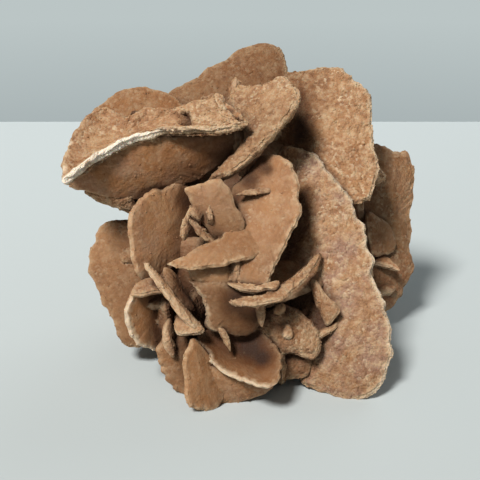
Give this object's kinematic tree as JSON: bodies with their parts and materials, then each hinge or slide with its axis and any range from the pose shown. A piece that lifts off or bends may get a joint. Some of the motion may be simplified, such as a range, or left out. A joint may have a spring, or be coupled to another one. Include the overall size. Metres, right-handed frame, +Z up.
{
  "type": "gypsum sand rose",
  "caption": "Gypsum sand rose: a free-standing cluster of sandy lens-shaped gypsum crystals grown through one another.",
  "frame": {"origin": "on the surface that the rose stands on, below the middle of its bounding box", "axes": "+Z up, -Y towards the front, +X to the right as seen from the front"},
  "size_m": [0.1141, 0.0967, 0.0951],
  "materials": {
    "gypsum": "rough, sandy, with paler granular rims and orange-brown thin parts"
  },
  "bodies": {
    "root": {"gypsum_sand_rose": "gypsum"}
  },
  "joints": []
}
